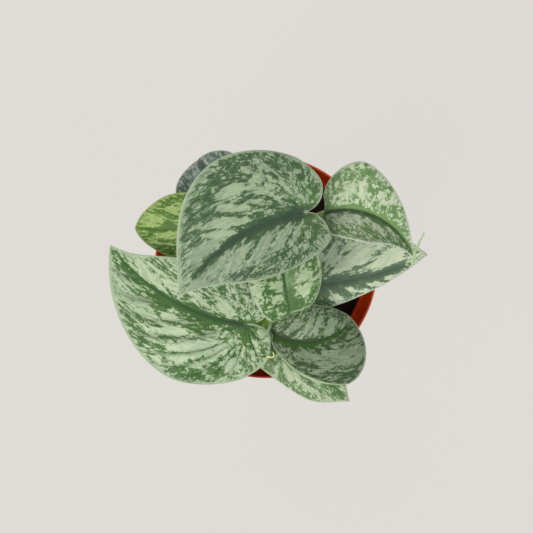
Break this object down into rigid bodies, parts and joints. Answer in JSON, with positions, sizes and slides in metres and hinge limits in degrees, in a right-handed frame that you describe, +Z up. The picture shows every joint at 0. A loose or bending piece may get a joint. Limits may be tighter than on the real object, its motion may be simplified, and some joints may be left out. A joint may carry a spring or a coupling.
{
  "type": "potted satin pothos",
  "caption": "Young trailing house plant with silver-patched heart-shaped leaves in a round tapered nursery pot filled with potting soil.",
  "frame": {"origin": "centre of the pot's flat underside, on the surface it stands on", "axes": "+Z up out of the pot, +Y towards the top of the picture and +X towards its right"},
  "size_m": [0.1675, 0.1339, 0.184],
  "materials": {
    "terracotta_plastic": "moulded, orange-red, faint satin",
    "peat_soil": "dark moist peat with fibres",
    "stem_green": "smooth yellow-green",
    "leaf_silver_green": "matt satin, silver patches on green",
    "leaf_young_green": "satin, yellow-green with paler patches",
    "leaf_old_green": "matt, dark grey-green"
  },
  "bodies": {
    "root": {"nursery_pot": "terracotta_plastic", "potting_soil": "peat_soil", "stem_north_east": "stem_green", "stem_north_west": "stem_green", "stem_middle": "stem_green", "stem_south": "stem_green", "leaf_top": "leaf_silver_green", "leaf_south_west": "leaf_silver_green", "leaf_east_upper": "leaf_silver_green", "leaf_centre_small": "leaf_silver_green", "leaf_east_lower": "leaf_silver_green", "leaf_south_upper": "leaf_silver_green", "leaf_south_lower": "leaf_silver_green", "leaf_west_young": "leaf_young_green", "leaf_north_old": "leaf_old_green"}
  },
  "joints": []
}
